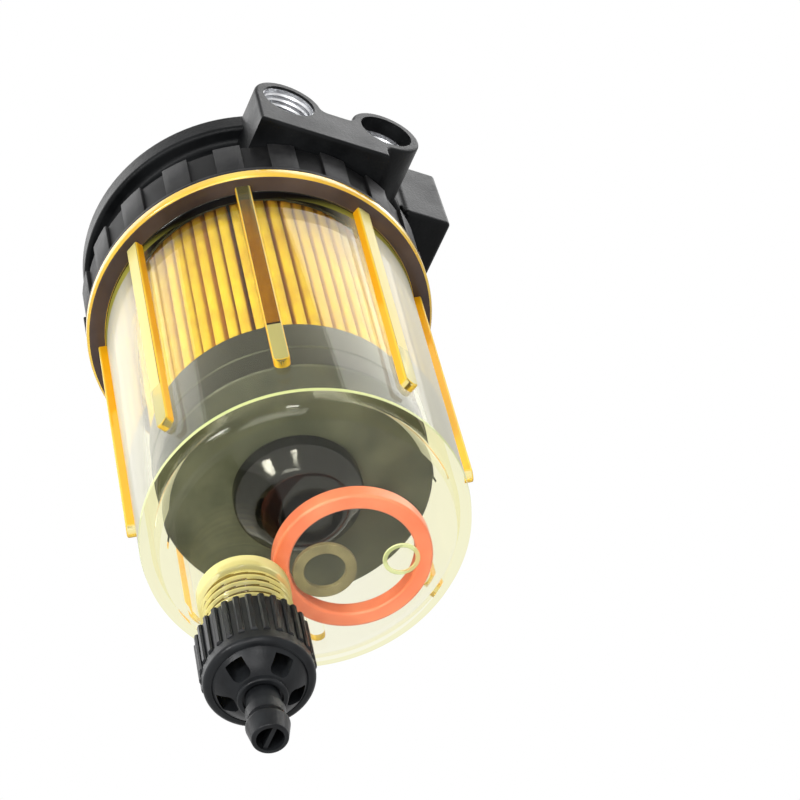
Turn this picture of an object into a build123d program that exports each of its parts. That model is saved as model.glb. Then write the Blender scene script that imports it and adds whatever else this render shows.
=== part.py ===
from build123d import *
import os
from math import cos, radians, sin

# Fuel water separator: a cast head with four fuel ports, a ribbed lock ring, a clear bowl
# with a pleated paper element inside it, and a screw-down drain valve under the bowl.
# Millimetres. +Z is up, +X runs along the port holes, +Y points at the bracket that carries it.
# The origin is the centre of the mounting pad's outer face, midway between its two bolt holes.
# Shapes are drawn about the bowl's axis with height 0 where the lock ring meets the bowl's
# flange, and are moved to the origin's place when they are written.

# Mounting pad
pad_standoff = 44.0
pad_drop = 37.0
pad_length = 58.8
pad_height = 26.2
pad_thickness = 12.8
pad_edge_round = 1.2
pad_bolt_spacing = 40.0
pad_bolt_radius = 3.4
pad_neck_width = 22.0
pad_gusset_rise = 10.0
pad_gusset_width = 5.0
pad_gusset_spread = 15.5

# Bowl
bowl_bore = 35.5
bowl_wall = 2.5
bowl_draft = 1.0
bowl_height = 94.1
bowl_floor = 2.6
bowl_corner = 6.0
flange_overhang = 4.7
flange_thickness = 2.7
flange_round = 0.9
bowl_lip_reach = 2.0
bowl_lip_thickness = 2.6
rib_count = 8
rib_width = 3.7
rib_height = 2.1
rib_foot_gap = 14.8
rib_first_angle = -28.35
gate_mark_radius = 4.2
gate_mark_width = 1.0
gate_mark_height = 0.4
gate_mark_x = 2.6
gate_mark_y = 21.0

# Lock ring
ring_height = 12.8
ring_wall = 2.2
ring_flare = 0.2
ring_lip_thickness = 2.6
ring_panel_count = 20
ring_panel_angle = 9.0
ring_panel_depth = 1.0
ring_bead = 1.3
ring_panel_first_angle = -31.0
thread_gap = 0.2
joint_gap = 0.2

# Bowl gasket
gasket_thickness = 1.6
gasket_inset = 0.5

# Head casting
rim_radius = 41.6
rim_thickness = 6.5
rim_round = 1.1
groove_depth = 2.8
groove_round = 1.5
ring_clearance = 0.4
skirt_wall = 5.7
roof_rise = 4.0
stem_boss_radius = 11.0
stem_boss_drop = 4.5
turret_radius = 27.5
turret_draft = 2.5
turret_height = 8.0
turret_round = 3.0

# Fuel ports
port_face = 47.0
port_height = 14.0
port_boss_radius = 9.0
port_radius = 6.8
port_depth = 18.0
port_edge_round = 0.8
port_dip_round = 1.8
outlet_offset = -7.6
inlet_offset = 18.7
port_web_inset = 1.1
port_bridge_rise = 0.3
passage_radius = 4.6

# Stem tube
stem_radius = 6.0
stem_wall = 1.4
stem_hole_radius = 1.8
stem_hole_rows = 4
stem_thread_depth = 4.0
fit_gap = 0.05

# Filter element
element_radius = 31.3
element_top_gap = 1.3
element_cap_wall = 0.6
element_cap_floor = 1.5
element_rim = 5.1
sump_depth = 11.0
media_gap = 0.1
media_inner_radius = 15.1
pleat_count = 60
paper_thickness = 0.3
core_wall = 0.6
core_gap = 0.2
core_hole_radius = 2.0
core_hole_columns = 6
core_hole_rows = 5
grommet_radius = 9.4
grommet_flange = 1.4
foot_seal_radius = 12.0
foot_seal_thickness = 1.5

# Retaining knob
knob_radius = 14.8
knob_height = 8.3
knob_thread_depth = 5.3

# Loose rings in the bowl
float_radius = 18.0
float_bore = 14.2
float_height = 4.2
float_round = 0.7
float_x = -2.8
float_y = 12.0
washer_radius = 7.2
washer_bore = 4.7
washer_thickness = 1.2
washer_x = -6.9
washer_y = 6.8

# Drain neck of the bowl
drain_x = -16.5
drain_y = -9.2
neck_radius = 9.6
neck_collar_radius = 10.5
neck_collar_height = 3.6
neck_length = 26.0
neck_bore = 7.6
seat_radius = 6.0
seat_depth = 1.2

# Drain valve
valve_radius = 12.6
valve_top_gap = 16.7
valve_skirt_height = 15.3
valve_rib_count = 28
valve_rib_width = 1.5
valve_rib_depth = 0.7
valve_rib_foot = 3.3
valve_band_rise = 0.25
valve_band_round = 1.2
valve_bore_gap = 0.25
window_count = 5
window_width = 4.4
window_round = 1.2
window_first_angle = 11.5
web_depth = 5.0
web_overlap = 0.35
hub_radius = 5.5
hub_shoulder = 3.7
hub_drop = 5.3
hub_recess_radius = 4.4
hub_recess_depth = 1.0
nozzle_radius = 4.35
nozzle_neck = 3.8
nozzle_neck_length = 3.4
nozzle_barb = 0.45
nozzle_length = 12.9
nozzle_bore = 3.0
nozzle_web = 0.9
valve_stem_radius = 5.0
piston_radius = 7.3
piston_height = 6.0
piston_drop = 9.0
cross_hole_radius = 1.7
seal_groove_depth = 1.3
seal_gap = 0.06

# Heights worked out from the sizes above
ring_bottom = joint_gap
ring_top = ring_bottom + ring_height
ring_lip_top = ring_bottom + ring_lip_thickness
bowl_lip_bottom = ring_lip_top + joint_gap
bowl_lip_top = bowl_lip_bottom + bowl_lip_thickness
gasket_top = bowl_lip_top + gasket_thickness
groove_bottom = ring_top + ring_clearance
roof = ring_top + roof_rise
stem_boss_bottom = roof - stem_boss_drop
port_axis = groove_bottom + port_height
rim_bottom = port_axis - rim_thickness / 2
rim_top = port_axis + rim_thickness / 2
turret_top = rim_top + turret_height
bowl_bottom = -bowl_height
bowl_floor_top = bowl_bottom + bowl_floor
flange_bottom = -flange_thickness
element_top = stem_boss_bottom - element_top_gap
knob_bottom = bowl_floor_top + sump_depth
knob_top = knob_bottom + knob_height
element_bottom = knob_top + foot_seal_thickness
element_height = element_top - element_bottom
neck_bottom = bowl_bottom - neck_length
seat_bottom = bowl_bottom - seat_depth
valve_top = bowl_bottom - valve_top_gap
valve_skirt_bottom = valve_top - valve_skirt_height
hub_bottom = valve_skirt_bottom - hub_drop
nozzle_tip = hub_bottom - nozzle_length
seat_seal_height = (bowl_floor_top + seat_bottom) / 2 - seat_depth / 2
piston_top = seat_bottom - piston_drop
piston_bottom = piston_top - piston_height
piston_seal_height = (piston_top + piston_bottom) / 2

# Radii worked out from the sizes above
bowl_outer = bowl_bore + bowl_wall
bowl_lip_radius = bowl_outer + bowl_lip_reach
flange_radius = bowl_outer + flange_overhang
ring_lip_bore = bowl_outer + joint_gap
skirt_radius = bowl_lip_radius + thread_gap
ring_bore = skirt_radius + thread_gap
ring_radius = ring_bore + ring_wall
skirt_bore = skirt_radius - skirt_wall
groove_radius = skirt_radius - groove_depth
media_radius = element_radius - element_cap_wall - media_gap
core_radius = media_inner_radius - core_gap
valve_bore = neck_radius + valve_bore_gap
seat_groove = valve_stem_radius - seal_groove_depth
piston_groove = piston_radius - seal_groove_depth


def turned(points, rounds=()):
    """A solid of revolution about Z from radius and height pairs; rounds are (point, radius)."""
    face = Plane.XZ * make_face(Polyline(*points, close=True))
    for (radius, height), size in rounds:
        corner = face.vertices().sort_by_distance((radius, 0, height))[0]
        face = fillet(corner, size)
    return revolve(face, Axis.Z)


def rod(radius, low, high):
    return Pos(0, 0, low) * Cylinder(radius, high - low, align=(Align.CENTER, Align.CENTER, Align.MIN))


def tube(outer, inner, low, high):
    return rod(outer, low, high) - rod(inner, low, high)


def bar_x(radius, low, high, y, z):
    """A round bar along X from low to high."""
    return Pos(low, y, z) * Rot(0, 90, 0) * Cylinder(
        radius, high - low, align=(Align.CENTER, Align.CENTER, Align.MIN)
    )


def around(shape, count, first=0.0):
    """Copies of a shape at even steps about Z."""
    return [Rot(0, 0, first + step * 360 / count) * shape for step in range(count)]


def block(x_low, x_high, y_low, y_high, z_low, z_high):
    size = (x_high - x_low, y_high - y_low, z_high - z_low)
    return Pos(x_low, y_low, z_low) * Box(*size, align=(Align.MIN, Align.MIN, Align.MIN))


def port_block():
    """The two port bosses and the web below them, as one section along X."""
    left = outlet_offset - port_boss_radius
    right = inlet_offset - port_web_inset
    web = Pos(left, groove_bottom) * Rectangle(right - left, port_height, align=(Align.MIN, Align.MIN))
    bridge = Pos(outlet_offset, groove_bottom) * Rectangle(
        right - outlet_offset, port_height + port_bridge_rise, align=(Align.MIN, Align.MIN)
    )
    outlet = Pos(outlet_offset, port_axis) * Circle(port_boss_radius)
    inlet = Pos(inlet_offset, port_axis) * Circle(port_boss_radius)
    section = web + bridge + outlet + inlet
    hollow_corners = section.vertices().filter_by(
        lambda corner: left + 1 < corner.X and corner.Y > groove_bottom + 1
    )
    section = fillet(hollow_corners, port_dip_round)
    bars = extrude(Plane.YZ * section, port_face, both=True)
    ends = bars.edges().filter_by(lambda edge: abs(abs(edge.center().X) - port_face) < 0.01)
    return fillet(ends, port_edge_round)


def mounting_pad():
    pad_back = pad_standoff
    pad_front = pad_back - pad_thickness
    pad = block(
        -pad_length / 2, pad_length / 2, pad_front, pad_back,
        pad_drop - pad_height / 2, pad_drop + pad_height / 2,
    )
    pad = fillet(pad.edges(), pad_edge_round)
    neck_top = turret_top - turret_round
    neck = block(-pad_neck_width / 2, pad_neck_width / 2, 0, pad_front + 1, rim_top - 1, neck_top)
    neck = chamfer(neck.edges().filter_by(Axis.Y).group_by(Axis.Z)[-1], pad_edge_round)
    outline = Polyline(
        (turret_radius / 2, rim_top - 1),
        (pad_front + 1, pad_drop - pad_height / 2 + pad_edge_round),
        (pad_front + 1, pad_drop + pad_gusset_rise),
        (turret_radius / 2, neck_top),
        close=True,
    )
    gusset = extrude(Plane.YZ * make_face(outline), pad_gusset_width / 2, both=True)
    gussets = [Pos(side * pad_gusset_spread, 0, 0) * gusset for side in (-1, 1)]
    return pad + neck + gussets


def head():
    """The casting: threaded skirt, groove, rim, turret, port bosses and mounting pad."""
    barrel = turned(
        [
            (0, gasket_top),
            (skirt_radius, gasket_top),
            (skirt_radius, groove_bottom),
            (groove_radius, groove_bottom),
            (groove_radius, rim_bottom),
            (rim_radius, rim_bottom),
            (rim_radius, rim_top),
            (0, rim_top),
        ],
        [
            ((groove_radius, rim_bottom), groove_round),
            ((rim_radius, rim_bottom), rim_round),
            ((rim_radius, rim_top), rim_round),
        ],
    )
    turret = turned(
        [
            (0, rim_top - 1),
            (turret_radius, rim_top - 1),
            (turret_radius - turret_draft, turret_top),
            (0, turret_top),
        ],
        [((turret_radius - turret_draft, turret_top), turret_round)],
    )
    body = barrel + turret + port_block() + mounting_pad()
    body -= rod(skirt_bore, gasket_top - 1, roof)
    body += rod(stem_boss_radius, stem_boss_bottom, roof + 1)
    body -= head_passages()
    return body


def head_passages():
    """Port holes, the galleries between them, the drops to the cavity and the bolt holes."""
    cuts = []
    for offset in (outlet_offset, inlet_offset):
        for side in (-1, 1):
            face = side * port_face
            low, high = sorted((face, face - side * port_depth))
            cuts.append(bar_x(port_radius, low, high, offset, port_axis))
        reach = port_face - port_depth + 1
        cuts.append(bar_x(passage_radius, -reach, reach, offset, port_axis))
    cuts.append(rod(stem_radius + fit_gap, stem_boss_bottom - 1, roof + stem_thread_depth))
    cuts.append(rod(passage_radius, roof, port_axis))
    cuts.append(Pos(0, inlet_offset, 0) * rod(passage_radius, roof - 1, port_axis))
    for side in (-1, 1):
        hole = Cylinder(pad_bolt_radius, 2 * pad_thickness + 1, rotation=(90, 0, 0))
        cuts.append(Pos(side * pad_bolt_spacing / 2, pad_standoff, pad_drop) * hole)
    return cuts


def lock_ring():
    """The ribbed ring: it hangs on the bowl's neck and screws onto the head's skirt."""
    flared = ring_radius + ring_flare
    ring = turned(
        [
            (ring_lip_bore, ring_bottom),
            (ring_radius, ring_bottom),
            (flared, ring_top),
            (ring_bore, ring_top),
            (ring_bore, ring_lip_top),
            (ring_lip_bore, ring_lip_top),
        ]
    )
    outline = Polyline(
        (ring_radius - ring_panel_depth, ring_bottom + ring_bead),
        (flared + 1, ring_bottom + ring_bead),
        (flared + 1, ring_top + 1),
        (flared - ring_panel_depth, ring_top + 1),
        close=True,
    )
    gap_angle = 360 / ring_panel_count - ring_panel_angle
    recess = revolve(Plane.XZ * make_face(outline), Axis.Z, gap_angle)
    first = ring_panel_first_angle + ring_panel_angle / 2
    return ring - around(recess, ring_panel_count, first)


def bowl_ribs():
    """Upright ribs on the wall, each with a rounded foot."""
    half = rib_width / 2
    top = flange_bottom + flange_thickness / 2
    foot = bowl_bottom + rib_foot_gap + half
    outline = Rectangle(rib_width, top - foot, align=(Align.CENTER, Align.MIN)) + Circle(half)
    start = bowl_outer - bowl_wall / 2 - bowl_draft
    reach = 2 * rib_height + bowl_wall
    rib = Plane.YZ.offset(start) * Pos(0, foot) * outline
    ribs = Part() + around(extrude(rib, reach), rib_count, rib_first_angle)
    limit = turned(
        [
            (0, 0),
            (bowl_outer + rib_height, 0),
            (bowl_outer + rib_height - bowl_draft, bowl_bottom),
            (0, bowl_bottom),
        ]
    )
    return ribs & limit


def drain_neck():
    """The threaded spigot under the bowl, off its axis."""
    low = bowl_bottom - neck_collar_height
    return turned(
        [
            (0, bowl_bottom + bowl_floor / 2),
            (neck_collar_radius, bowl_bottom + bowl_floor / 2),
            (neck_collar_radius, low),
            (neck_radius, low),
            (neck_radius, neck_bottom),
            (0, neck_bottom),
        ],
        [((neck_collar_radius, low), 0.4)],
    )


def bowl():
    """The clear moulding: neck with lip, flange, drafted wall, floor, ribs and drain neck."""
    foot_outer = bowl_outer - bowl_draft
    foot_inner = bowl_bore - bowl_draft
    outside = turned(
        [
            (0, bowl_lip_top),
            (bowl_lip_radius, bowl_lip_top),
            (bowl_lip_radius, bowl_lip_bottom),
            (bowl_outer, bowl_lip_bottom),
            (bowl_outer, 0),
            (flange_radius, 0),
            (flange_radius, flange_bottom),
            (bowl_outer, flange_bottom),
            (foot_outer, bowl_bottom),
            (0, bowl_bottom),
        ],
        [
            ((flange_radius, flange_bottom), flange_round),
            ((bowl_outer, flange_bottom), flange_round),
            ((foot_outer, bowl_bottom), bowl_corner),
        ],
    )
    inside = turned(
        [
            (0, bowl_lip_top + 1),
            (bowl_bore, bowl_lip_top + 1),
            (bowl_bore, flange_bottom),
            (foot_inner, bowl_floor_top),
            (0, bowl_floor_top),
        ],
        [((foot_inner, bowl_floor_top), bowl_corner - bowl_wall)],
    )
    neck = Pos(drain_x, drain_y, 0) * drain_neck()
    bore = rod(neck_bore, neck_bottom - 1, seat_bottom) + rod(seat_radius, seat_bottom, bowl_floor_top + 1)
    low = bowl_bottom - gate_mark_height
    mark = tube(gate_mark_radius, gate_mark_radius - gate_mark_width, low, bowl_bottom + 0.1)
    body = outside + bowl_ribs() + neck + Pos(gate_mark_x, gate_mark_y, 0) * mark
    return body - inside - Pos(drain_x, drain_y, 0) * bore


def bowl_gasket():
    outer = bowl_lip_radius - gasket_inset
    return tube(outer, bowl_bore + gasket_inset, bowl_lip_top, gasket_top)


def stem_tube():
    """The centre tube that the element slides over, open to the clean side through side holes."""
    low = knob_top - knob_thread_depth
    high = roof + stem_thread_depth
    body = tube(stem_radius, stem_radius - stem_wall, low, high)
    body = chamfer(body.edges().filter_by(GeomType.CIRCLE).group_by(Axis.Z)[0], stem_wall / 4)
    step = element_height / (stem_hole_rows + 1)
    drill = Cylinder(stem_hole_radius, 3 * stem_radius, rotation=(90, 0, 0))
    for row in range(stem_hole_rows):
        body -= Pos(0, 0, element_bottom + (row + 1) * step) * Rot(0, 0, 90 * row) * drill
    return body


def element_cap(floor_low, floor_high, rim_end, hole):
    """A shallow pressed cup over one end of the pleats."""
    side = element_radius
    inner = element_radius - element_cap_wall
    inside = floor_low if rim_end < floor_low else floor_high
    outside = floor_high if rim_end < floor_low else floor_low
    return turned(
        [
            (hole, outside),
            (side, outside),
            (side, rim_end),
            (inner, rim_end),
            (inner, inside),
            (hole, inside),
        ],
        [((side, outside), element_cap_wall)],
    )


def element_top_cap():
    low = element_top - element_cap_floor
    return element_cap(low, element_top, low - element_rim, grommet_radius + fit_gap)


def element_bottom_cap():
    high = element_bottom + element_cap_floor
    return element_cap(element_bottom, high, high + element_rim, stem_radius + 4 * fit_gap)


def element_media():
    """Pleated filter paper: one folded sheet, closed into a star."""
    low = element_bottom + element_cap_floor
    high = element_top - element_cap_floor
    pitch = radians(360 / pleat_count)
    outer = []
    inner = []
    for pleat in range(pleat_count):
        angle = pleat * pitch
        crest = media_radius
        valley = media_inner_radius + paper_thickness
        outer += [(crest, angle - pitch / 4), (crest, angle + pitch / 4)]
        outer += [(valley, angle + pitch / 4), (valley, angle + 3 * pitch / 4)]
        crest_skew = pitch / 4 - paper_thickness / (crest - paper_thickness)
        valley_skew = pitch / 4 - paper_thickness / valley
        inner += [(crest - paper_thickness, angle - crest_skew), (crest - paper_thickness, angle + crest_skew)]
        inner += [(media_inner_radius, angle + valley_skew), (media_inner_radius, angle + pitch - valley_skew)]

    def outline(polar):
        return make_face(Polyline(*[(r * cos(a), r * sin(a)) for r, a in polar], close=True))

    return Pos(0, 0, low) * extrude(outline(outer) - outline(inner), high - low)


def element_core():
    """The perforated tube that keeps the pleats from collapsing inwards."""
    low = element_bottom + element_cap_floor
    high = element_top - element_cap_floor
    body = tube(core_radius, core_radius - core_wall, low, high)
    drill = Pos(core_radius, 0, 0) * Cylinder(core_hole_radius, 6 * core_wall, rotation=(0, 90, 0))
    step = (high - low) / core_hole_rows
    for row in range(core_hole_rows):
        twist = (row % 2) * 180 / core_hole_columns
        ring_of_holes = around(drill, core_hole_columns, twist)
        body -= [Pos(0, 0, low + (row + 0.5) * step) * hole for hole in ring_of_holes]
    return body


def element_grommet():
    """Rubber sleeve in the top cap that seals on the stem tube and under the stem boss."""
    low = element_top - element_cap_floor
    bore = stem_radius + fit_gap
    return turned(
        [
            (bore, low),
            (grommet_radius, low),
            (grommet_radius, element_top),
            (grommet_radius + grommet_flange, element_top),
            (grommet_radius + grommet_flange, stem_boss_bottom),
            (bore, stem_boss_bottom),
        ]
    )


def foot_seal():
    return tube(foot_seal_radius, stem_radius + fit_gap, knob_top, element_bottom)


def retaining_knob():
    """Domed nut on the stem tube's lower end; it holds the element up against the head."""
    shoulder = knob_height * 0.45
    dome = turned(
        [
            (0, knob_top),
            (knob_radius, knob_top),
            (knob_radius, knob_top - shoulder),
            (knob_radius * 0.72, knob_bottom),
            (0, knob_bottom),
        ],
        [
            ((knob_radius, knob_top - shoulder), knob_height * 0.35),
            ((knob_radius * 0.72, knob_bottom), knob_height * 0.35),
        ],
    )
    return dome - rod(stem_radius + fit_gap, knob_top - knob_thread_depth, knob_top + 1)


def flat_ring(radius, bore, thickness, x, y, edge):
    """A loose ring lying on the bowl's floor."""
    body = tube(radius, bore, bowl_floor_top, bowl_floor_top + thickness)
    return Pos(x, y, 0) * fillet(body.edges().filter_by(GeomType.CIRCLE), edge)


def seal_section(groove, bore):
    """Radius of the round section that fills the space between groove and bore."""
    return (bore - groove) / 2 - seal_gap


def seal_ring(groove, bore, height):
    return Pos(0, 0, height) * Torus((bore + groove) / 2, seal_section(groove, bore))


def valve_stem():
    """Stem and piston inside the drain neck, with a groove for each seal."""
    seat_half = seal_section(seat_groove, seat_radius) + seal_gap
    piston_half = seal_section(piston_groove, neck_bore) + seal_gap
    tip = seat_seal_height + 2 * seat_half
    return turned(
        [
            (0, valve_skirt_bottom),
            (valve_stem_radius, valve_skirt_bottom),
            (valve_stem_radius, piston_bottom),
            (piston_radius, piston_bottom),
            (piston_radius, piston_seal_height - piston_half),
            (piston_groove, piston_seal_height - piston_half),
            (piston_groove, piston_seal_height + piston_half),
            (piston_radius, piston_seal_height + piston_half),
            (piston_radius, piston_top),
            (valve_stem_radius, piston_top),
            (valve_stem_radius, seat_seal_height - seat_half),
            (seat_groove, seat_seal_height - seat_half),
            (seat_groove, seat_seal_height + seat_half),
            (valve_stem_radius, seat_seal_height + seat_half),
            (valve_stem_radius, tip),
            (0, tip),
        ]
    )


def valve_skirt():
    """The ribbed wall that turns by hand round the drain neck."""
    floor = valve_radius - valve_rib_depth
    band = floor + valve_band_rise
    foot = valve_skirt_bottom + valve_rib_foot
    edge = valve_band_rise * 2
    wall = turned(
        [
            (valve_bore, valve_top),
            (floor, valve_top),
            (floor, foot + valve_band_rise),
            (band, foot),
            (band, valve_skirt_bottom),
            (valve_bore + edge, valve_skirt_bottom),
            (valve_bore, valve_skirt_bottom + edge),
        ],
        [((band, valve_skirt_bottom), valve_band_round)],
    )
    outline = Polyline(
        (valve_bore + edge, valve_top),
        (valve_radius, valve_top),
        (valve_radius, foot),
        (valve_bore + edge, foot),
        close=True,
    )
    rib = extrude(Plane.XZ * make_face(outline), valve_rib_width / 2, both=True)
    rib = chamfer(rib.edges().filter_by(Axis.Z).group_by(Axis.X)[-1], valve_rib_depth / 2)
    rib = chamfer(rib.faces().sort_by(Axis.Z)[0].edges().group_by(Axis.X)[-1], valve_rib_depth / 2)
    return wall + around(rib, valve_rib_count)


def valve_web():
    """The domed web between the skirt and the hub, cut through by the windows."""
    high = valve_skirt_bottom + web_depth
    low = valve_skirt_bottom - hub_shoulder
    rim = valve_bore + 2 * web_overlap
    start = Vector(rim, valve_skirt_bottom + 2 * web_overlap)
    finish = Vector(hub_radius - web_overlap, low - web_overlap)
    bulge = (start + finish) / 2 + Vector(0.4, -0.5)
    edge = ThreePointArc(start, bulge, finish)
    side = Polyline(finish, (0, finish.Y), (0, high), (rim, high), start)
    dome = revolve(Plane.XZ * make_face(edge + side), Axis.Z)
    inner = hub_radius + web_overlap
    reach = valve_bore - inner
    outline = Pos(inner + reach, 0) * RectangleRounded(2 * reach, window_width, window_round)
    window = Pos(0, 0, low - 2) * extrude(outline, high - low + 3)
    limit = rod(valve_bore - web_overlap, low - 2, high + 1)
    return dome - [cut & limit for cut in around(window, window_count, window_first_angle)]


def valve_nozzle():
    """Hub end with a shallow recess, then the barbed nozzle for a drain hose."""
    barb = nozzle_radius + nozzle_barb
    shoulder = hub_bottom - nozzle_neck_length
    slope = (nozzle_radius - nozzle_neck) * 1.2
    return turned(
        [
            (0, valve_skirt_bottom),
            (hub_radius, valve_skirt_bottom),
            (hub_radius, hub_bottom),
            (hub_recess_radius, hub_bottom),
            (hub_recess_radius, hub_bottom + hub_recess_depth),
            (nozzle_neck, hub_bottom + hub_recess_depth),
            (nozzle_neck, shoulder),
            (nozzle_radius, shoulder - slope),
            (nozzle_radius - nozzle_barb / 2, nozzle_tip + nozzle_length / 2),
            (barb, nozzle_tip + nozzle_length / 3),
            (nozzle_radius - nozzle_barb, nozzle_tip),
            (0, nozzle_tip),
        ],
        [
            ((hub_radius, hub_bottom), nozzle_barb),
            ((barb, nozzle_tip + nozzle_length / 3), 2 * nozzle_barb),
            ((nozzle_radius - nozzle_barb, nozzle_tip), nozzle_barb),
        ],
    )


def drain_valve():
    """Ribbed skirt, webs, hub, hose nozzle and stem, moulded in one piece."""
    body = valve_skirt() + valve_web() + valve_nozzle() + valve_stem()
    cross_height = piston_top + 2 * cross_hole_radius
    body -= rod(nozzle_bore, nozzle_tip - 1, cross_height + cross_hole_radius)
    body -= Pos(0, 0, cross_height) * Cylinder(cross_hole_radius, 3 * piston_radius, rotation=(90, 0, 0))
    web = block(
        -nozzle_bore - 0.3, nozzle_bore + 0.3, -nozzle_web / 2, nozzle_web / 2,
        nozzle_tip + nozzle_barb, hub_bottom,
    )
    return body + web


def at_drain(shape):
    return Pos(drain_x, drain_y, 0) * shape


nodes = {
    "head": head(),
    "stem_tube": stem_tube(),
    "element_top_cap": element_top_cap(),
    "element_media": element_media(),
    "element_core": element_core(),
    "element_bottom_cap": element_bottom_cap(),
    "element_grommet": element_grommet(),
    "foot_seal": foot_seal(),
    "retaining_knob": retaining_knob(),
    "lock_ring": lock_ring(),
    "bowl": bowl(),
    "bowl_gasket": bowl_gasket(),
    "float_ring": flat_ring(float_radius, float_bore, float_height, float_x, float_y, float_round),
    "loose_washer": flat_ring(
        washer_radius, washer_bore, washer_thickness, washer_x, washer_y, washer_thickness / 6
    ),
    "drain_valve": at_drain(drain_valve()),
    "drain_seat_seal": at_drain(seal_ring(seat_groove, seat_radius, seat_seal_height)),
    "drain_piston_seal": at_drain(seal_ring(piston_groove, neck_bore, piston_seal_height)),
}

os.makedirs("parts", exist_ok=True)
place = Pos(0, -pad_standoff, -pad_drop)
for name, shape in nodes.items():
    export_step(place * shape, f"parts/{name}.step")
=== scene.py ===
import math
import random

import bmesh
import bpy
from mathutils import Matrix, Vector


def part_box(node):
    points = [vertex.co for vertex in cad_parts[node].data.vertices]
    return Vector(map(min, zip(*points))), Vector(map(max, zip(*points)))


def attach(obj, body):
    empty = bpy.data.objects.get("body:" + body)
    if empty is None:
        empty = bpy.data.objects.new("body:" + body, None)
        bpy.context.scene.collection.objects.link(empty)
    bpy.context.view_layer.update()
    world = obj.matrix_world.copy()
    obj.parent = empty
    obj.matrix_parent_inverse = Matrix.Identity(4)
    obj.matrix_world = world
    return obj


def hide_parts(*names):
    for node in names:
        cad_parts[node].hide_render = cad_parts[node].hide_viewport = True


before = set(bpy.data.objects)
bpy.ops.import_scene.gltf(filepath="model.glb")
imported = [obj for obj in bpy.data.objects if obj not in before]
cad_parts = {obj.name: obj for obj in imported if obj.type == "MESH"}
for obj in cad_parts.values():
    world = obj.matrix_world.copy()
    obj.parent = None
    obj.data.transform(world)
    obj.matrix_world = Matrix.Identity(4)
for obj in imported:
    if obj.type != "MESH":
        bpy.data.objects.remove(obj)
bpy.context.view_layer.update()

# Shapes are drawn in millimetres about the bowl's axis, with height 0 where the lock ring
# meets the bowl's flange, and are scaled and moved to the frame when they are finished.
# A section is a list of (radius, height) or (radius, height, rounding) points.
MM = 0.001
JOINT_GAP = 0.2
ring_low, ring_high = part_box("lock_ring")
BOWL_AXIS = Vector((
    (ring_low.x + ring_high.x) / 2,
    (ring_low.y + ring_high.y) / 2,
    ring_low.z - JOINT_GAP * MM,
))
TO_FRAME = Matrix.Translation(BOWL_AXIS) @ Matrix.Scale(MM, 4)
UP = Vector((0, 0, 1))
ORIGIN = Vector((0, 0, 0))


# Mesh helpers

ROUND_STEPS = 5
NEAR_AXIS = 1e-6
WELD = 1e-5
LEVEL_NORMAL = 0.9999
LEVEL_SHARP = 2
SHARP = 32


def outline_loop(bm, points):
    """Draws a section as a closed loop of edges in the XZ plane and rounds its corners."""
    verts = [bm.verts.new((point[0], 0, point[1])) for point in points]
    bm.faces.new(verts)
    for vert, point in zip(verts, points):
        if len(point) > 2:
            bmesh.ops.bevel(
                bm, geom=[vert], offset=point[2], offset_type="OFFSET", segments=ROUND_STEPS,
                profile=0.5, affect="VERTICES", material=-1,
            )
    bmesh.ops.delete(bm, geom=bm.faces[:], context="FACES_ONLY")


def turned(points, steps, hub=False, centre=(0, 0)):
    """A turned solid from its section; hub says that the section touches the axis."""
    bm = bmesh.new()
    outline_loop(bm, points)
    if hub:
        on_axis = [e for e in bm.edges if all(abs(v.co.x) < NEAR_AXIS for v in e.verts)]
        bmesh.ops.delete(bm, geom=on_axis, context="EDGES")
    bmesh.ops.spin(
        bm, geom=bm.verts[:] + bm.edges[:], cent=ORIGIN, axis=UP, angle=math.tau,
        steps=steps, use_merge=True, use_duplicate=False,
    )
    bmesh.ops.remove_doubles(bm, verts=bm.verts[:], dist=WELD)
    if hub:
        poles = [v for v in bm.verts if v.co.xy.length < WELD]
        bmesh.ops.dissolve_verts(bm, verts=poles)
    bmesh.ops.recalc_face_normals(bm, faces=bm.faces[:])
    bmesh.ops.translate(bm, verts=bm.verts[:], vec=(*centre, 0))
    return bm


def turn(bm, degrees):
    """Turns everything drawn so far about the axis."""
    matrix = Matrix.Rotation(math.radians(degrees), 3, "Z")
    bmesh.ops.rotate(bm, verts=bm.verts[:], cent=ORIGIN, matrix=matrix)


def close_ends(bm):
    """Fills the open ends of a swept section and turns all faces outwards."""
    bmesh.ops.holes_fill(bm, edges=bm.edges[:], sides=0)
    bmesh.ops.recalc_face_normals(bm, faces=bm.faces[:])


def sector(points, first, span, steps):
    """Part of a turned solid, closed at both ends, between two angles in degrees."""
    bm = bmesh.new()
    outline_loop(bm, points)
    turn(bm, first)
    bmesh.ops.spin(
        bm, geom=bm.verts[:] + bm.edges[:], cent=ORIGIN, axis=UP, angle=math.radians(span),
        steps=steps, use_merge=False, use_duplicate=False,
    )
    close_ends(bm)
    return bm


def cut_line(bm, height):
    """Draws an edge round the shape at a height, where one finish gives way to another."""
    everything = bm.verts[:] + bm.edges[:] + bm.faces[:]
    bmesh.ops.bisect_plane(bm, geom=everything, plane_co=(0, 0, height), plane_no=UP)


def angle_of(co):
    """Angle of a point about the axis, from 0 to 360 degrees."""
    return math.degrees(math.atan2(co.y, co.x)) % 360


def mark_sharp(bm, degrees):
    """Smooth shading with sharp edges from an angle; round level faces, a small angle is enough."""
    for edge in bm.edges:
        level = any(abs(face.normal.z) > LEVEL_NORMAL for face in edge.link_faces)
        limit = LEVEL_SHARP if level else degrees
        edge.smooth = edge.calc_face_angle(math.pi) < math.radians(limit)
    for face in bm.faces:
        face.smooth = True


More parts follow.
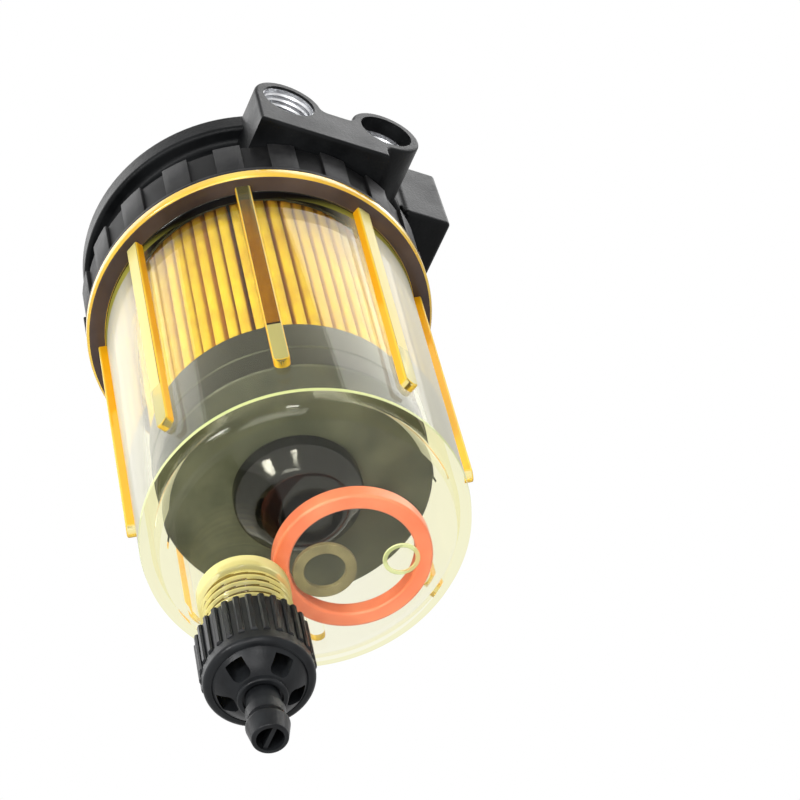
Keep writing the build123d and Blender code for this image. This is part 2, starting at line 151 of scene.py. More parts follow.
def join(target, other):
    """Adds the faces of another bmesh to target and frees it."""
    mesh = bpy.data.meshes.new("part")
    other.to_mesh(mesh)
    other.free()
    target.from_mesh(mesh)
    bpy.data.meshes.remove(mesh)


def new_object(bm, name):
    """Turns a bmesh into an object of the scene and frees it."""
    mesh = bpy.data.meshes.new(name)
    bm.to_mesh(mesh)
    bm.free()
    obj = bpy.data.objects.new(name, mesh)
    bpy.context.scene.collection.objects.link(obj)
    return obj


def combine(base, tool, operation):
    """Joins the tool to the base or cuts it away, and returns a bmesh of the result."""
    first = new_object(base, "base")
    second = new_object(tool, "tool")
    change = first.modifiers.new("combine", "BOOLEAN")
    change.object = second
    change.operation = operation
    change.solver = "EXACT"
    bpy.context.view_layer.update()
    graph = bpy.context.evaluated_depsgraph_get()
    mesh = bpy.data.meshes.new_from_object(first.evaluated_get(graph))
    result = bmesh.new()
    result.from_mesh(mesh)
    for obj in (first, second):
        data = obj.data
        bpy.data.objects.remove(obj)
        bpy.data.meshes.remove(data)
    bpy.data.meshes.remove(mesh)
    return result


def piece(bm, name, materials, body, replaces=(), sharp=SHARP):
    """Makes the finished object, gives it its materials, hangs it on its body and hides the CAD
    parts that it replaces.
    """
    bmesh.ops.transform(bm, matrix=TO_FRAME, verts=bm.verts[:])
    mark_sharp(bm, sharp)
    obj = new_object(bm, name)
    for material in materials:
        obj.data.materials.append(material)
    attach(obj, body)
    if replaces:
        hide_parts(*replaces)
    return obj


# Shader helpers

WHITE = (1, 1, 1, 1)

# Sockets of the Mix node that share their names with others
MIX_FACTOR = 0
MIX_FIRST_VALUE = 2
MIX_SECOND_VALUE = 3
MIX_FIRST_COLOUR = 6
MIX_SECOND_COLOUR = 7
MIXED_VALUE = 0
MIXED_COLOUR = 2


def srgb(red, green, blue):
    """Linear colour from the 0 to 255 values that a screen shows."""
    def channel(value):
        part = value / 255
        return part / 12.92 if part <= 0.04045 else ((part + 0.055) / 1.055) ** 2.4
    return (channel(red), channel(green), channel(blue), 1.0)


def node(tree, kind, values):
    """A new node with fixed values on some of its inputs, by their name or number."""
    made = tree.nodes.new(kind)
    for socket, value in values.items():
        made.inputs[socket].default_value = value
    return made


def mix_shaders(tree, factor, first, second):
    """The first shader where the factor is 0 and the second where it is 1."""
    mix = tree.nodes.new("ShaderNodeMixShader")
    tree.links.new(factor, mix.inputs["Fac"])
    tree.links.new(first, mix.inputs[1])
    tree.links.new(second, mix.inputs[2])
    return mix.outputs["Shader"]


def mix_colours(tree, factor, colours):
    """A Mix node for colours, with its factor linked and its fixed colours set."""
    mix = node(tree, "ShaderNodeMix", colours)
    mix.data_type = "RGBA"
    tree.links.new(factor, mix.inputs[MIX_FACTOR])
    return mix


def math_node(tree, kind, operation, values):
    """A Math or Vector Math node."""
    made = node(tree, kind, values)
    made.operation = operation
    return made


def blank_material(name):
    """A material that has a Principled shader and nothing else."""
    material = bpy.data.materials.new(name)
    material.use_nodes = True
    tree = material.node_tree
    tree.nodes.clear()
    output = tree.nodes.new("ShaderNodeOutputMaterial")
    shader = tree.nodes.new("ShaderNodeBsdfPrincipled")
    tree.links.new(shader.outputs["BSDF"], output.inputs["Surface"])
    return material, tree, shader, output


# Surface grain, shared by all materials

FINE_DETAIL = 3
FINE_ROUGHNESS = 0.6
PATCH_DETAIL = 4
PATCH_SCALE = 0.08
PATCH_COLOUR_RANGE = (0.35, 0.65)
PATCH_GLOSS_RANGE = (0.3, 0.7)


def grain_group():
    """Fine grain as a height for Bump, and broad patches as a mask for colour and gloss."""
    group = bpy.data.node_groups.new("surface_grain", "ShaderNodeTree")
    sockets = group.interface
    sockets.new_socket("Grains per metre", in_out="INPUT", socket_type="NodeSocketFloat")
    sockets.new_socket("Height", in_out="OUTPUT", socket_type="NodeSocketFloat")
    sockets.new_socket("Patches", in_out="OUTPUT", socket_type="NodeSocketFloat")
    start = group.nodes.new("NodeGroupInput")
    end = group.nodes.new("NodeGroupOutput")
    coords = group.nodes.new("ShaderNodeTexCoord")
    fine = node(group, "ShaderNodeTexNoise", {"Detail": FINE_DETAIL, "Roughness": FINE_ROUGHNESS})
    broad = node(group, "ShaderNodeTexNoise", {"Detail": PATCH_DETAIL})
    share = math_node(group, "ShaderNodeMath", "MULTIPLY", {1: PATCH_SCALE})
    link = group.links.new
    link(coords.outputs["Object"], fine.inputs["Vector"])
    link(coords.outputs["Object"], broad.inputs["Vector"])
    link(start.outputs["Grains per metre"], fine.inputs["Scale"])
    link(start.outputs["Grains per metre"], share.inputs[0])
    link(share.outputs[0], broad.inputs["Scale"])
    link(fine.outputs["Fac"], end.inputs["Height"])
    link(broad.outputs["Fac"], end.inputs["Patches"])
    return group


GRAIN = grain_group()


def grain_node(tree, grains):
    """The shared grain at a given number of grains per metre."""
    grain = tree.nodes.new("ShaderNodeGroup")
    grain.node_tree = GRAIN
    grain.inputs["Grains per metre"].default_value = grains
    return grain


def add_bump(tree, shader, height, strength, depth):
    """Bends the shader's normal by a height; depth is in metres."""
    bump = node(tree, "ShaderNodeBump", {"Strength": strength, "Distance": depth})
    tree.links.new(height, bump.inputs["Height"])
    tree.links.new(bump.outputs["Normal"], shader.inputs["Normal"])


def patch_colour(tree, mask, dark, light):
    """A colour that goes from dark to light over the patches."""
    ramp = tree.nodes.new("ShaderNodeValToRGB")
    stops = zip(ramp.color_ramp.elements, PATCH_COLOUR_RANGE, (dark, light))
    for element, position, colour in stops:
        element.position = position
        element.color = colour
    tree.links.new(mask, ramp.inputs["Fac"])
    return ramp.outputs["Color"]


def patch_gloss(tree, mask, roughness):
    """A roughness that goes from the lower to the higher value over the patches."""
    span = node(tree, "ShaderNodeMapRange", {
        "From Min": PATCH_GLOSS_RANGE[0], "From Max": PATCH_GLOSS_RANGE[1],
        "To Min": roughness[0], "To Max": roughness[1],
    })
    tree.links.new(mask, span.inputs["Value"])
    return span.outputs["Result"]


# Solid finishes

GRAIN_STRENGTH = 1.0
GRAINED_COAT_ROUGHNESS = 0.06
GLUE_AND_SHADE_FROM = 1.5
GLUE_AND_SHADE_TO = 6.5
# Radii over which the valleys between pleats are painted darker, as shade
GAP_FROM = 30.1
GAP_TO = 28.6


def grained(name, dark, light, roughness, grains, depth, metallic=0.0, specular=0.5, coat=0.0):
    """A moulded, cast or coated finish: grain in the bump, patches in colour and gloss."""
    material, tree, shader, _ = blank_material(name)
    shader.inputs["Metallic"].default_value = metallic
    shader.inputs["Specular IOR Level"].default_value = specular
    shader.inputs["Coat Weight"].default_value = coat
    shader.inputs["Coat Roughness"].default_value = GRAINED_COAT_ROUGHNESS
    grain = grain_node(tree, grains)
    patches = grain.outputs["Patches"]
    tree.links.new(patch_colour(tree, patches, dark, light), shader.inputs["Base Color"])
    tree.links.new(patch_gloss(tree, patches, roughness), shader.inputs["Roughness"])
    add_bump(tree, shader, grain.outputs["Height"], GRAIN_STRENGTH, depth)
    return material


def paper_material():
    """Resin-treated paper, browner where it goes into the top cap, partly glue and partly painted
    shade under the flange, and darker deep between pleats as painted shade.
    """
    material = grained(
        "filter_paper", dark=srgb(180, 144, 8), light=srgb(196, 166, 18),
        roughness=(0.75, 0.85), grains=1800, depth=0.00004,
    )
    tree = material.node_tree
    shader = next(n for n in tree.nodes if n.type == "BSDF_PRINCIPLED")
    plain = shader.inputs["Base Color"].links[0].from_socket
    coords = tree.nodes.new("ShaderNodeTexCoord")

    # Browner towards the top cap: partly glue in the paper, partly painted shade under the flange
    parts = tree.nodes.new("ShaderNodeSeparateXYZ")
    tree.links.new(coords.outputs["Object"], parts.inputs["Vector"])
    glue_and_shade_mask = node(tree, "ShaderNodeMapRange", {
        "From Min": BOWL_AXIS.z + GLUE_AND_SHADE_FROM * MM, "From Max": BOWL_AXIS.z + GLUE_AND_SHADE_TO * MM,
    })
    glue_and_shade_mask.interpolation_type = "SMOOTHSTEP"
    tree.links.new(parts.outputs["Z"], glue_and_shade_mask.inputs["Value"])
    glue_and_shade_colour = mix_colours(tree, glue_and_shade_mask.outputs["Result"], {MIX_SECOND_COLOUR: srgb(206, 140, 40)})
    tree.links.new(plain, glue_and_shade_colour.inputs[MIX_FIRST_COLOUR])

    # Painted shade: darker towards the valleys deep between the pleats
    flat = math_node(tree, "ShaderNodeVectorMath", "MULTIPLY", {1: (1, 1, 0)})
    tree.links.new(coords.outputs["Object"], flat.inputs[0])
    radius = math_node(
        tree, "ShaderNodeVectorMath", "DISTANCE", {1: (BOWL_AXIS.x, BOWL_AXIS.y, 0)}
    )
    tree.links.new(flat.outputs[0], radius.inputs[0])
    shade = node(tree, "ShaderNodeMapRange", {"From Min": GAP_FROM * MM, "From Max": GAP_TO * MM})
    tree.links.new(radius.outputs["Value"], shade.inputs["Value"])
    pleat_gap_shade = mix_colours(tree, shade.outputs["Result"], {MIX_SECOND_COLOUR: srgb(186, 130, 12)})
    tree.links.new(glue_and_shade_colour.outputs[MIXED_COLOUR], pleat_gap_shade.inputs[MIX_FIRST_COLOUR])
    tree.links.new(pleat_gap_shade.outputs[MIXED_COLOUR], shader.inputs["Base Color"])
    return material


HEAD_PAINT = grained(
    "black_cast_paint", dark=srgb(14, 15, 16), light=srgb(26, 27, 28),
    roughness=(0.3, 0.44), grains=1400, depth=0.00008, specular=0.1,
)
BARE_ALUMINIUM = grained(
    "machined_aluminium", dark=srgb(205, 206, 209), light=srgb(236, 237, 239),
    roughness=(0.3, 0.42), grains=3000, depth=0.00001, metallic=1.0,
)
# One finish for the pressed caps; the copy below, for the bottom cap's upright side, is painted
# darker as shade, so the two are lit and shaded copies
CAP_STEEL = grained(
    "dark_coated_steel", dark=srgb(58, 60, 49), light=srgb(78, 80, 66),
    roughness=(0.3, 0.42), grains=1400, depth=0.00001, specular=0.3,
)
CAP_SIDE = grained(
    "dark_coated_steel_side_shade", dark=srgb(28, 28, 22), light=srgb(42, 42, 34),
    roughness=(0.34, 0.46), grains=700, depth=0.000004, specular=0.15,
)
CORE_STEEL = grained(
    "plain_steel", dark=srgb(140, 138, 130), light=srgb(170, 168, 160),
    roughness=(0.3, 0.45), grains=2000, depth=0.00002, metallic=1.0,
)
SEAL_RUBBER = grained(
    "black_rubber", dark=srgb(22, 22, 22), light=srgb(32, 32, 32),
    roughness=(0.6, 0.75), grains=2500, depth=0.00002, specular=0.2,
)
KNOB_PLASTIC = grained(
    "gloss_black_plastic", dark=srgb(6, 7, 8), light=srgb(12, 13, 14),
    roughness=(0.05, 0.1), grains=900, depth=0.00002, specular=0.5,
)
RING_PLASTIC = grained(
    "grained_black_plastic", dark=srgb(36, 36, 37), light=srgb(50, 50, 50),
    roughness=(0.4, 0.52), grains=3200, depth=0.00005, specular=0.12,
)
# The ring's own black plastic, painted darker as shade in the recesses between panels
RING_SHADE = grained(
    "grained_black_recess_shade", dark=srgb(20, 20, 21), light=srgb(30, 30, 30),
    roughness=(0.5, 0.6), grains=3200, depth=0.00004, specular=0.1,
)
VALVE_PLASTIC = grained(
    "satin_black_plastic", dark=srgb(20, 21, 23), light=srgb(32, 34, 36),
    roughness=(0.3, 0.42), grains=2600, depth=0.00003, specular=0.2,
)
FLOAT_PLASTIC = grained(
    "orange_plastic", dark=srgb(214, 106, 72), light=srgb(224, 128, 96),
    roughness=(0.3, 0.4), grains=1200, depth=0.00002,
)
FIBRE_WASHER = grained(
    "olive_fibre", dark=srgb(104, 96, 70), light=srgb(126, 118, 88),
    roughness=(0.6, 0.75), grains=3500, depth=0.00003,
)
PAPER = paper_material()


# Clear plastic

CLEAR_TINT = srgb(252, 251, 240)
STRAIGHT_TINT = srgb(250, 249, 232)
CLEAR_ROUGHNESS = 0.02
CLEAR_IOR = 1.18
CLEAR_COAT_ROUGHNESS = 0.03
RIPPLES = 90
RIPPLE_STRENGTH = 0.6
RIPPLE_DEPTH = 0.0001
MILK_ROUGHNESS = 0.4
MILK_SPECULAR = 0.1
EXIT_FROM = 0.38
EXIT_TO = 0.46
EVEN_BLEND = 0.5


def facing_mask(tree, low, high, most):
    """How far a surface turns from the view, on both sides: none up to low, most past high."""
    graze = node(tree, "ShaderNodeLayerWeight", {"Blend": EVEN_BLEND})
    span = node(tree, "ShaderNodeMapRange", {"From Min": low, "From Max": high, "To Max": most})
    span.interpolation_type = "SMOOTHSTEP"
    tree.links.new(graze.outputs["Facing"], span.inputs["Value"])
    return span.outputs["Result"]


def see_through(name, tint, haze, clear_to, hazy_from, most, coat=0.35, airy=False):
    """Clear moulded plastic; where the view grazes it, its front is milky.

    An airy one is seen straight through there. From inside, light that meets the plastic at a
    slant leaves it straight, because total reflection would look black.
    """
    material, tree, shader, output = blank_material(name)
    back = tree.nodes.new("ShaderNodeNewGeometry").outputs["Backfacing"]
    colour = mix_colours(tree, back, {MIX_FIRST_COLOUR: tint, MIX_SECOND_COLOUR: CLEAR_TINT})
    tree.links.new(colour.outputs[MIXED_COLOUR], shader.inputs["Base Color"])
    shader.inputs["Roughness"].default_value = CLEAR_ROUGHNESS
    shader.inputs["IOR"].default_value = CLEAR_IOR
    shader.inputs["Transmission Weight"].default_value = 1.0
    shader.inputs["Coat Weight"].default_value = coat
    shader.inputs["Coat Roughness"].default_value = CLEAR_COAT_ROUGHNESS
    ripples = grain_node(tree, RIPPLES).outputs["Patches"]
    add_bump(tree, shader, ripples, RIPPLE_STRENGTH, RIPPLE_DEPTH)

    straight = node(tree, "ShaderNodeBsdfTransparent", {"Color": haze if airy else STRAIGHT_TINT})
    veil = straight.outputs["BSDF"]
    if not airy:
        milk = node(tree, "ShaderNodeBsdfPrincipled", {
            "Base Color": haze, "Roughness": MILK_ROUGHNESS, "Specular IOR Level": MILK_SPECULAR,
        })
        veil = mix_shaders(tree, back, milk.outputs["BSDF"], veil)
    mask = tree.nodes.new("ShaderNodeMix")
    tree.links.new(back, mask.inputs[MIX_FACTOR])
    tree.links.new(facing_mask(tree, clear_to, hazy_from, most), mask.inputs[MIX_FIRST_VALUE])
    tree.links.new(facing_mask(tree, EXIT_FROM, EXIT_TO, 1.0), mask.inputs[MIX_SECOND_VALUE])
    seen = mix_shaders(tree, mask.outputs[MIXED_VALUE], shader.outputs["BSDF"], veil)

    shadow = node(tree, "ShaderNodeBsdfTransparent", {"Color": tint})
    path = tree.nodes.new("ShaderNodeLightPath")
    result = mix_shaders(tree, path.outputs["Is Shadow Ray"], seen, shadow.outputs["BSDF"])
    tree.links.new(result, output.inputs["Surface"])
    return material


# The bowl's one clear plastic, as it reads on each stretch of the moulding; several stretches carry
# painted shade, painted reflection and painted glow, as noted at each
BOWL_FINISHES = {
    "wall": see_through(
        "clear_plastic", tint=CLEAR_TINT, haze=srgb(218, 215, 194),
        clear_to=0.58, hazy_from=0.74, most=0.74, coat=0.1,
    ),
    "inside": see_through(
        "clear_plastic_inside", tint=CLEAR_TINT, haze=srgb(253, 252, 242),
        clear_to=0.4, hazy_from=0.7, most=0.9, coat=0.1, airy=True,
    ),
    # Rib faces are tinted dark brown where the paper lies behind and pale yellow below it: painted
    # shade and painted refraction, not the plastic's own colour
    "rib": see_through(
        "clear_plastic_rib", tint=(0.13, 0.05, 0.008, 1.0), haze=srgb(252, 236, 150),
        clear_to=0.48, hazy_from=0.58, most=0.8, coat=0.0,
    ),
    "rib_foot": see_through(
        "clear_plastic_rib_foot", tint=srgb(240, 230, 150), haze=srgb(226, 214, 130),
        clear_to=-0.6, hazy_from=0.5, most=0.55, coat=0.1,
    ),
    # Rib edges and sides: the golden colour is a painted reflection of the yellow paper, and the
    # sides are painted brighter where they lie in shade
    "rib_edge": see_through(
        "clear_plastic_rib_edge", tint=srgb(250, 226, 130), haze=srgb(252, 204, 56),
        clear_to=0.0, hazy_from=0.3, most=0.85, coat=0.1,
    ),
    "rib_side": see_through(
        "clear_plastic_rib_side", tint=srgb(252, 210, 80), haze=srgb(255, 180, 18),
        clear_to=0.0, hazy_from=0.3, most=0.8, coat=0.0,
    ),
    "neck": see_through(
        "clear_plastic_neck", tint=srgb(246, 238, 170), haze=srgb(236, 224, 146),
        clear_to=-0.5, hazy_from=0.5, most=0.8,
    ),
    # Thread grooves: the dark olive tint is painted shade in the grooves
    "groove": see_through(
        "clear_plastic_neck_groove", tint=srgb(150, 124, 50), haze=srgb(128, 108, 44),
        clear_to=-0.5, hazy_from=0.5, most=0.85,
    ),
    "corner": see_through(
        "clear_plastic_corner", tint=srgb(250, 250, 226), haze=srgb(249, 248, 228),
        clear_to=0.0, hazy_from=0.3, most=0.98, coat=0.1, airy=True,
    ),
    # The pale yellow-green line round the floor's corner, also on the gate mark, is a painted glow
    # of light piped through the plastic
    "corner_line": see_through(
        "clear_plastic_corner_line", tint=srgb(244, 250, 190), haze=srgb(238, 246, 168),
        clear_to=0.0, hazy_from=0.1, most=0.7,
    ),
    # A dark band just below the flange, with an olive haze: painted shade
    "shade": see_through(
        "clear_plastic_shade", tint=(0.03, 0.02, 0.01, 1.0), haze=srgb(176, 170, 70),
        clear_to=0.5, hazy_from=0.68, most=0.85,
    ),
    # Flange underside: opaque dark brown, painted shade and refraction of what lies behind the
    # clear flange
    "flange": grained(
        "clear_plastic_flange", dark=srgb(54, 42, 38), light=srgb(88, 74, 68),
        roughness=(0.14, 0.24), grains=500, depth=0.00003, specular=0.25,
    ),
    # Flange rim: golden, a painted glow of the paper's yellow light piped through the plastic
    "flange_edge": grained(
        "clear_plastic_flange_edge", dark=srgb(226, 176, 40), light=srgb(252, 214, 80),
        roughness=(0.1, 0.2), grains=700, depth=0.00003, coat=0.2,
    ),
}


# Camera at the photograph's viewing angle; distances in metres

AZIMUTH = math.radians(53.1132)
ELEVATION = math.radians(-55.6736)
ROLL = math.radians(-16.1712)
DISTANCE = 0.69779
LENS = 127.418
SENSOR = 36
NEAREST = 0.01
AIM_RIGHT = 0.0345245
AIM_DOWN = 0.0191697


def direction(azimuth, elevation):
    """Direction from the part towards a camera or lamp, from its angles in radians."""
    level = math.cos(elevation)
    return Vector((math.sin(azimuth) * level, -math.cos(azimuth) * level, math.sin(elevation)))


def turned_to(right, up, back, location):
    """Matrix of a camera or lamp with these sides, at this place."""
    matrix = Matrix((right, up, back)).transposed().to_4x4()
    matrix.translation = location
    return matrix


view_back = direction(AZIMUTH, ELEVATION)
level_right = Vector((math.cos(AZIMUTH), math.sin(AZIMUTH), 0))
level_up = view_back.cross(level_right)
view_right = level_right * math.cos(ROLL) + level_up * math.sin(ROLL)
view_up = level_up * math.cos(ROLL) - level_right * math.sin(ROLL)
aim = BOWL_AXIS + view_right * AIM_RIGHT - view_up * AIM_DOWN

camera = bpy.data.objects.new("camera", bpy.data.cameras.new("camera"))
bpy.context.scene.collection.objects.link(camera)
camera.data.lens = LENS
camera.data.sensor_width = SENSOR
camera.data.clip_start = NEAREST
camera.matrix_world = turned_to(view_right, view_up, view_back, aim + view_back * DISTANCE)
bpy.context.scene.camera = camera


# Lamps, world and floor; sizes in metres and power in watts

LAMP_AIM = BOWL_AXIS - UP * 0.05
SOFT_FILL = 0.4
FLOOR_HEIGHT = -1.3
FLOOR_SIZE = 4.0
FLOOR_COLOUR = (0.6, 0.6, 0.6, 1)
FLOOR_ROUGHNESS = 0.9


def softbox(name, aside, raised, distance, size, power):
    """A soft lamp facing the bowl, turned aside from the camera and raised by degrees."""
    data = bpy.data.lights.new(name, "AREA")
    data.shape = "RECTANGLE"
    data.size, data.size_y = size
    data.energy = power
    lamp = bpy.data.objects.new(name, data)
    bpy.context.scene.collection.objects.link(lamp)
    toward = direction(AZIMUTH + math.radians(aside), math.radians(raised))
    back = toward.normalized()
    right = view_up.cross(back).normalized()
    lamp.matrix_world = turned_to(right, back.cross(right), back, LAMP_AIM + back * distance)


softbox("left_softbox", aside=-80, raised=50, distance=0.85, size=(0.8, 0.7), power=3.5)
softbox("right_softbox", aside=80, raised=50, distance=0.85, size=(0.8, 0.7), power=5.2)
softbox("front_softbox", aside=0, raised=-52, distance=1.2, size=(0.6, 0.5), power=4.6)
softbox("left_glint", aside=-34, raised=-26, distance=0.9, size=(0.2, 0.12), power=4.0)
softbox("right_glint", aside=12, raised=-28, distance=0.9, size=(0.1, 0.1), power=1.5)


def either(tree, first, second):
    """The higher of two masks."""
    higher = math_node(tree, "ShaderNodeMath", "MAXIMUM", {})
    tree.links.new(first, higher.inputs[0])
    tree.links.new(second, higher.inputs[1])
    return higher.outputs[0]


def white_backdrop(tree, surface, output_socket):
    """White for what the camera, gloss and clear plastic see; the given surface for other light."""
    path = tree.nodes.new("ShaderNodeLightPath")
    seen = either(tree, path.outputs["Is Camera Ray"], path.outputs["Is Glossy Ray"])
    seen = either(tree, seen, path.outputs["Is Transmission Ray"])
    kind = "ShaderNodeBackground" if surface.type == "BACKGROUND" else "ShaderNodeEmission"
    white = node(tree, kind, {"Color": WHITE, "Strength": 1.0})
    mixed = mix_shaders(tree, seen, surface.outputs[0], white.outputs[0])
    tree.links.new(mixed, output_socket)


def studio_world():
    """Soft white light from all round."""
    world = bpy.data.worlds.new("studio")
    bpy.context.scene.world = world
    world.use_nodes = True
    tree = world.node_tree
    tree.nodes.clear()
    output = tree.nodes.new("ShaderNodeOutputWorld")
    soft_fill = node(tree, "ShaderNodeBackground", {"Color": WHITE, "Strength": SOFT_FILL})
    white_backdrop(tree, soft_fill, output.inputs["Surface"])


def pale_floor():
    """A plain level floor, well below the part."""
    bm = bmesh.new()
    bmesh.ops.create_grid(bm, x_segments=1, y_segments=1, size=FLOOR_SIZE)
    bmesh.ops.translate(bm, verts=bm.verts[:], vec=(0, 0, FLOOR_HEIGHT))
    floor = new_object(bm, "floor")
    material, tree, shader, output = blank_material("pale_floor")
    shader.inputs["Base Color"].default_value = FLOOR_COLOUR
    shader.inputs["Roughness"].default_value = FLOOR_ROUGHNESS
    white_backdrop(tree, shader, output.inputs["Surface"])
    floor.data.materials.append(material)


studio_world()
pale_floor()


# Lock ring

RING_SECTION = [
    (38.2, 0.2, 0.3), (42.6, 0.2, 0.35), (42.6, 1.5, 0.3), (41.63, 1.5), (41.8, 13.0, 0.2),
    (40.4, 13.0), (40.4, 2.8), (38.2, 2.8),
]
RING_STEPS = 160
PANEL_SECTION = [(41.3, 1.3), (42.63, 1.3), (42.8, 13.0), (41.3, 13.0)]
PANELS = 20
PANEL_FIRST = -31.0
PANEL_ANGLE = 9.0
PANEL_STEPS = 4
PANEL_EDGE_ANGLE = 35
PANEL_EDGE_RADIUS = 42
PANEL_ROUND = 0.25
RECESS_RADIUS = 42.05
RECESS_LOW = 1.4


def ring_panel(angle):
    """One raised panel of the ring, with its outer edges rounded."""
    bm = sector(PANEL_SECTION, angle - PANEL_ANGLE / 2, PANEL_ANGLE, PANEL_STEPS)
    corners = [
        edge for edge in bm.edges
        if edge.calc_face_angle(0) > math.radians(PANEL_EDGE_ANGLE)
        and min(vert.co.xy.length for vert in edge.verts) > PANEL_EDGE_RADIUS
    ]
    bmesh.ops.bevel(
        bm, geom=corners, offset=PANEL_ROUND, segments=2, profile=0.5, affect="EDGES", material=-1
    )
    return bm


def lock_ring():
    """The ribbed black ring, with a bead below its raised panels and recesses between, painted
    darker as shade.
    """
    ring = turned(RING_SECTION, RING_STEPS)
    panels = bmesh.new()
    for count in range(PANELS):
        join(panels, ring_panel(PANEL_FIRST + count * 360 / PANELS))
    ring = combine(ring, panels, "UNION")
    # Recess faces take the darker copy, painted shade
    for face in ring.faces:
        centre = face.calc_center_median()
        recessed = centre.xy.length < RECESS_RADIUS and centre.z > RECESS_LOW
        face.material_index = 1 if recessed else 0
    piece(
        ring, "ribbed_ring", [RING_PLASTIC, RING_SHADE],
        "lock_ring", ["lock_ring"],
    )


lock_ring()


# Bowl

BOWL_SECTION = [
    (0, -94.1), (37.0, -94.1, 6.0), (38.0, -2.7, 0.45), (42.7, -2.7, 0.9), (42.7, 0.0, 0.25),
    (38.0, 0.0), (38.0, 3.0), (40.0, 3.0), (40.0, 5.6), (35.5, 5.6), (35.5, -2.7),
    (34.5, -91.5, 3.5), (0, -91.5),
]
BOWL_STEPS = 256
WALL_RADIUS = 38.0
WALL_DRAFT = 1.0
BOWL_HEIGHT = 94.1

RIBS = 8
RIB_ANGLE = -28.35
RIB_HALF = 1.85
RIB_HEIGHT = 2.1
RIB_ROOT = WALL_RADIUS - 2.0
RIB_TOP = -1.5
RIB_FOOT = -79.3
RIB_FOOT_ROUND = RIB_HALF * 0.97
RIB_ROUND = 0.45

# The neck's section is drawn about its own axis, which stands at DRAIN
DRAIN = (-16.5, -9.2)
NECK_RADIUS = 9.5
NECK_LOW = -120.1
NECK_HIGH = -98.2
NECK_SECTION = [
    (0, -92.6), (10.5, -92.6), (10.5, -97.7, 0.5), (NECK_RADIUS, NECK_HIGH), (NECK_RADIUS, -119.4),
    (8.9, NECK_LOW), (0, NECK_LOW),
]
NECK_BORE = [(0, -121.0), (7.6, -121.0), (7.6, -95.3), (6.0, -95.3), (6.0, -90.0), (0, -90.0)]
NECK_STEPS = 96
NECK_ROWS = 110
NECK_LONG_EDGE = 15
NECK_PITCH = 2.2
NECK_THREAD_DEPTH = 0.85
NECK_THREAD_FULLNESS = 0.8
NECK_THREAD_LOW = -119.3
NECK_THREAD_HIGH = -98.3
NECK_RUN_OUT = 1.5
NECK_RUN_OUT_HIGH = NECK_HIGH - 0.1

GATE_MARK = (2.6, 21.0)
GATE_SECTION = [(3.2, -93.9), (3.2, -94.5, 0.15), (4.2, -94.5, 0.15), (4.2, -93.9)]
GATE_STEPS = 64

# Heights and radii where one of the bowl's finishes gives way to another
RIB_PALE = -64.6
SHADE_FOOT = -6.0
CORNER_LINE = -89.0
BELOW_FLOOR = -94.2
FLOOR_UNDERSIDE = -93.5
NECK_REACH = 12
GROOVE_LOW = -119.2
GROOVE_HIGH = -98.4
GROOVE_INNER = 9
GROOVE_OUTER = 9.85
RIM_INNER = 41.9
RIM_TOP = 0.1
FLANGE_INNER = 38.3
FLANGE_LOW = -2.8
FLANGE_HIGH = -2.0
RIB_STANDS_OFF = 0.25
RIBS_LOW = -82
RIBS_HIGH = -2
INSIDE_RADIUS = 37
WALL_HIGH = -2.7
CORNER_INNER = 33
CORNER_HIGH = -88.2


def neck_thread(turns):
    """Radius that the rounded thread adds at a number of turns along its helix."""
    swell = 0.5 + 0.5 * math.cos(math.tau * (turns % 1.0))
    return NECK_THREAD_DEPTH * swell ** NECK_THREAD_FULLNESS


def threaded_neck():
    """The drain neck with its helical thread, closed at both ends."""
    bm = turned(NECK_SECTION, NECK_STEPS, hub=True)
    long_edges = [e for e in bm.edges if abs(e.verts[0].co.z - e.verts[1].co.z) > NECK_LONG_EDGE]
    bmesh.ops.subdivide_edges(bm, edges=long_edges, cuts=NECK_ROWS, use_grid_fill=True)
    for vert in bm.verts:
        height = vert.co.z
        if NECK_THREAD_LOW < height < NECK_THREAD_HIGH and vert.co.xy.length > GROOVE_INNER:
            turns = height / NECK_PITCH + angle_of(vert.co) / 360
            from_low = (height - NECK_LOW) / NECK_RUN_OUT
            from_high = (NECK_RUN_OUT_HIGH - height) / NECK_RUN_OUT
            full = max(0.0, min(1.0, from_low, from_high))
            out = vert.co.xy.normalized() * (NECK_RADIUS + neck_thread(turns) * full)
            vert.co.x, vert.co.y = out.x, out.y
    bmesh.ops.translate(bm, verts=bm.verts[:], vec=(*DRAIN, 0))
    return bm


def wall_radius(height):
    """Outer radius of the bowl's wall, which tapers a little for the mould."""
    return WALL_RADIUS + WALL_DRAFT * height / BOWL_HEIGHT


def bowl_rib(angle):
    """One upright rib with a rounded foot, leaning in with the wall."""
    bm = bmesh.new()
    corners = (
        (-RIB_HALF, RIB_TOP), (RIB_HALF, RIB_TOP), (RIB_HALF, RIB_FOOT), (-RIB_HALF, RIB_FOOT)
    )
    verts = [bm.verts.new((RIB_ROOT, across, height)) for across, height in corners]
    bm.faces.new(verts)
    bmesh.ops.bevel(
        bm, geom=verts[2:], offset=RIB_FOOT_ROUND, offset_type="OFFSET", segments=6,
        profile=0.5, affect="VERTICES", material=-1,
    )
    grown = bmesh.ops.extrude_face_region(bm, geom=bm.faces[:])["geom"]
    for vert in (g for g in grown if isinstance(g, bmesh.types.BMVert)):
        vert.co.x = wall_radius(vert.co.z) + RIB_HEIGHT
    bmesh.ops.recalc_face_normals(bm, faces=bm.faces[:])
    edges = [e for e in bm.edges if all(v.co.x > WALL_RADIUS for v in e.verts)]
    bmesh.ops.bevel(
        bm, geom=edges, offset=RIB_ROUND, segments=3, profile=0.5, affect="EDGES", material=-1
    )
    cut_line(bm, RIB_PALE)
    turn(bm, angle)
    return bm


